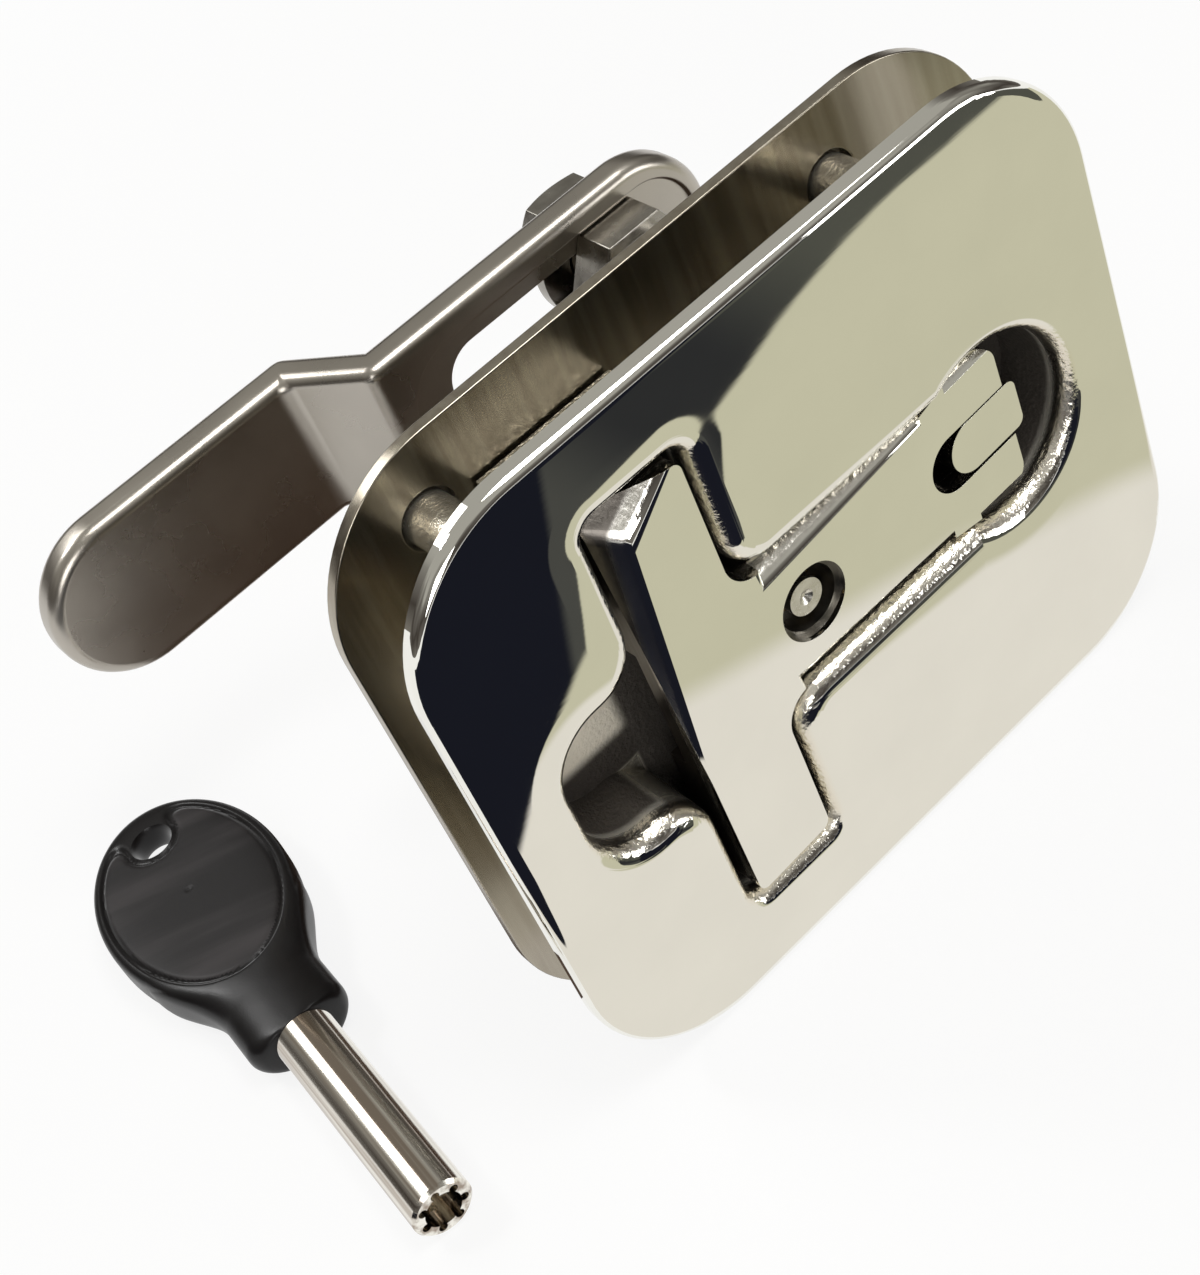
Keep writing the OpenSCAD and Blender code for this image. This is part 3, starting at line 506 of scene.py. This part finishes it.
def off_slot(point):
    """Outside the slot and the recess round it."""
    along = min(max(point.x, slot_x0), slot_x1)
    return math.hypot(point.x - along, point.z) > slot_clear


def at_slot(point):
    return not off_slot(point)


broken_edges("cam_arm", tumbled, "satin_cast", (0.0022, 5, 20, off_slot), (0.0004, 2, 40, at_slot))
dull_steel = worked_metal("dull_steel", (0.24, 0.225, 0.20), (0.40, 0.38, 0.34), (0.18, 0.3), scale=260)
broken_edges("hex_shoulder", dull_steel, "fastener", (0.0005, 3, 25, anywhere))
broken_edges("cam_bolt", dull_steel, "fastener", (0.0005, 3, 25, anywhere))
dress(dull_steel, "cam_washer")

# Key bow: a black moulding, oval and flat, thicker towards the collar that grips the shank.
# It has well rounded edges, a satin panel inside a sunk line on both sides, and a hole for a ring.
# The bow isn't mirrored in the catch.
black, t, skin = new_paint("black_moulding")
where = wire(t, "TexCoord").outputs["Object"]
scuffs_and_sheen = grain(t, where, 60, 5)
rim_dark, rim_worn = (0.0035, 0.0030, 0.0033), (0.0075, 0.0065, 0.0070)
t.links.new(blend(t, scuffs_and_sheen, rim_dark, rim_worn), skin.inputs["Base Color"])
t.links.new(ramp(t, scuffs_and_sheen, 0.3, 0.7, 0.28, 0.40), skin.inputs["Roughness"])
skin.inputs["Specular IOR Level"].default_value = 0.30
mould_grain, mould_depth = 3600, 0.000012
t.links.new(dents(t, grain(t, where, mould_grain, 2), mould_depth), skin.inputs["Normal"])

satin, t, skin = new_paint("satin_panel")
where = wire(t, "TexCoord").outputs["Object"]
# Painted sheen: lighter diagonal streaks across the satin panel.
scuffs_and_sheen = grain(t, where, 110, 4, (8, 1, 1), math.radians(-25))
panel_dark, panel_painted_sheen = (0.006, 0.005, 0.0055), (0.034, 0.030, 0.031)
t.links.new(blend(t, ramp(t, scuffs_and_sheen, 0.40, 0.66), panel_dark, panel_painted_sheen), skin.inputs["Base Color"])
t.links.new(ramp(t, scuffs_and_sheen, 0.3, 0.7, 0.42, 0.55), skin.inputs["Roughness"])
skin.inputs["Specular IOR Level"].default_value = 0.34
t.links.new(dents(t, grain(t, where, mould_grain, 2), mould_depth), skin.inputs["Normal"])

key_centre = Vector((-0.0841, 0.082, -0.048))
key_turn = math.radians(-95)
to_key = Euler((0, 0, key_turn), "XYZ").to_matrix()
bow_mid, bow_half_len, bow_half_w = -0.001, 0.0245, 0.016
neck_start, neck_end, collar_end = 0.0087, 0.0267, 0.0367
neck_root, collar_half, end_round = 0.0146, 0.0089, 0.0033
flat_power, neck_power, rounding_start = 6, 2.4, 0.010
blend_start, blend_end = 0.004, 0.015
thin_half, thick_half, thick_from = 0.0025, 0.0050, 0.0207
ring_hole, ring_hole_r, lip = -0.0168, 0.0030, 0.0016
panel_inset, panel_bite, bite_blend = 0.0021, 0.0046, 0.0040
groove_depth, groove_half = 0.0006, 0.00042
panel_sink, sink_run, edge_height = 0.00012, 0.0006, 0.001


def soft_step(value, start, full):
    """Runs smoothly from 0 to 1 as a value goes from start to full."""
    u = min(max((value - start) / (full - start), 0), 1)
    return u * u * (3 - 2 * u)


def bow_width(along):
    """Half of the width of the bow, of its drawn-in neck and of the round end of its collar."""
    oval = bow_half_w * math.sqrt(max(0, 1 - ((along - bow_mid) / bow_half_len) ** 2))
    if along < neck_start:
        return oval
    neck = neck_root + (collar_half - neck_root) * soft_step(along, neck_start, neck_end)
    turned = min(1, max(0, 1 - (collar_end - along) / end_round))
    return max(oval, neck) - end_round * (1 - math.sqrt(1 - turned * turned))


def bow_height(along, across):
    """Half of the thickness: a flat oval with rounded edges that runs into a round neck."""
    ring_end = bow_mid - bow_half_len
    thickened = min(1, (along - ring_end) / (thick_from - ring_end))
    slab = thin_half + (thick_half - thin_half) * thickened
    out = math.hypot((along - bow_mid) / bow_half_len, across / bow_half_w)
    flat = max(0, 1 - out ** flat_power) ** (1 / flat_power)
    power = flat_power + (neck_power - flat_power) * soft_step(along, rounding_start, neck_end)
    side = min(1, abs(across) / max(bow_width(along), 1e-6))
    neck = max(0, 1 - side ** power) ** (1 / power)
    return slab * (flat + (neck - flat) * soft_step(along, blend_start, blend_end))


def panel_edge(along, across):
    """Distance outside the panel line, an oval that is drawn in round the ring hole."""
    rx, ry = bow_half_len - panel_inset, bow_half_w - panel_inset
    x = along - bow_mid
    k0 = math.hypot(x / rx, across / ry)
    k1 = max(math.hypot(x / rx ** 2, across / ry ** 2), 1e-9)
    oval = k0 * (k0 - 1) / k1
    bite = panel_bite - math.hypot(max(along - ring_hole, 0), across)
    near = max(bite_blend - abs(oval - bite), 0) / bite_blend
    return max(oval, bite) + near * near * bite_blend / 4


def bow_mesh():
    """Rings of points from the ring end to the collar, with the panel line pressed in on both sides."""
    end_rings, steps, half_ring = 80, 118, 96
    alongs = [bow_mid - bow_half_len * math.cos(math.pi / 2 * i / end_rings) for i in range(1, end_rings)]
    alongs += [bow_mid + (collar_end - bow_mid) * i / steps for i in range(steps + 1)]
    sides = [-math.cos(math.pi * j / half_ring) for j in range(half_ring + 1)]
    around = [(side, 1) for side in sides] + [(side, -1) for side in reversed(sides[1:-1])]
    shape = bmesh.new()
    last = None
    for along in alongs:
        ring = []
        for side, face in around:
            across = side * bow_width(along)
            height = bow_height(along, across)
            if height > edge_height:
                gap = panel_edge(along, across)
                height -= groove_depth * math.exp(-(gap / groove_half) ** 2)
                height -= panel_sink * soft_step(-gap, 0, sink_run)
            ring.append(shape.verts.new((along, across, face * height)))
        if last is None:
            shape.faces.new(ring)
        else:
            for j in range(len(ring)):
                k = (j + 1) % len(ring)
                shape.faces.new((last[j], ring[j], ring[k], last[k]))
        last = ring
    shape.faces.new(list(reversed(last)))
    bmesh.ops.recalc_face_normals(shape, faces=shape.faces)
    for f in shape.faces:
        middle = f.calc_center_median()
        f.material_index = 1 if panel_edge(middle.x, middle.y) < -groove_half else 0
    return shape


def lipped_hole():
    """The ring hole as a solid to cut with, flared at both faces."""
    turns, rows, reach = 64, 25, 0.0034
    shape = bmesh.new()
    last = None
    for i in range(rows):
        up = reach * (2 * i / (rows - 1) - 1)
        lifted = min(1, abs(up) / reach)
        r = ring_hole_r + lip * (1 - math.sqrt(1 - lifted * lifted))
        ring = [shape.verts.new((ring_hole + r * math.cos(a), r * math.sin(a), up))
                for a in (2 * math.pi * j / turns for j in range(turns))]
        if last is None:
            shape.faces.new(list(reversed(ring)))
        else:
            for j in range(turns):
                k = (j + 1) % turns
                shape.faces.new((last[j], last[k], ring[k], ring[j]))
        last = ring
    shape.faces.new(last)
    bmesh.ops.recalc_face_normals(shape, faces=shape.faces)
    return shape


def laid_down(name, shape):
    """Puts a shape of the key where the key lies, as an object."""
    for v in shape.verts:
        v.co = key_centre + to_key @ v.co
    for f in shape.faces:
        f.smooth = True
    mesh = bpy.data.meshes.new(name)
    shape.to_mesh(mesh)
    shape.free()
    piece = bpy.data.objects.new(name, mesh)
    bpy.context.scene.collection.objects.link(piece)
    return piece


bow = laid_down("key_bow_finished", bow_mesh())
bow.data.materials.append(black)
bow.data.materials.append(satin)
bow.visible_glossy = False
cutter = laid_down("ring_hole_cutter", lipped_hole())
cutter.data.materials.append(black)
cut = bow.modifiers.new("ring_hole", "BOOLEAN")
cut.operation = "DIFFERENCE"
cut.solver = "EXACT"
cut.object = cutter
bpy.context.view_layer.update()
graph = bpy.context.evaluated_depsgraph_get()
bow.data = bpy.data.meshes.new_from_object(bow.evaluated_get(graph))
bow.modifiers.clear()
bpy.data.objects.remove(cutter)
bow.data.set_sharp_from_angle(angle=math.radians(50))
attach(bow, nodes["key_bow"]["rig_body"])
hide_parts("key_bow")

# Key shank: a bright steel tube, drawn lengthwise and notched inside its end for the pins of the lock.
# It is moulded into the bow.
tube, t, skin = new_paint("bright_tube")
skin.inputs["Metallic"].default_value = 1.0
where = wire(t, "TexCoord").outputs["Object"]
off_axis = math.radians(-5)
drawn = grain(t, where, 520, 4, (1, 60, 1), off_axis)
line_brown, tube_bright = (0.36, 0.30, 0.245), (0.90, 0.875, 0.80)
t.links.new(blend(t, ramp(t, drawn, 0.34, 0.62), line_brown, tube_bright), skin.inputs["Base Color"])
t.links.new(ramp(t, drawn, 0.3, 0.7, 0.10, 0.19), skin.inputs["Roughness"])
t.links.new(dents(t, drawn, 0.000012), skin.inputs["Normal"])
dress(tube, "key_shank")
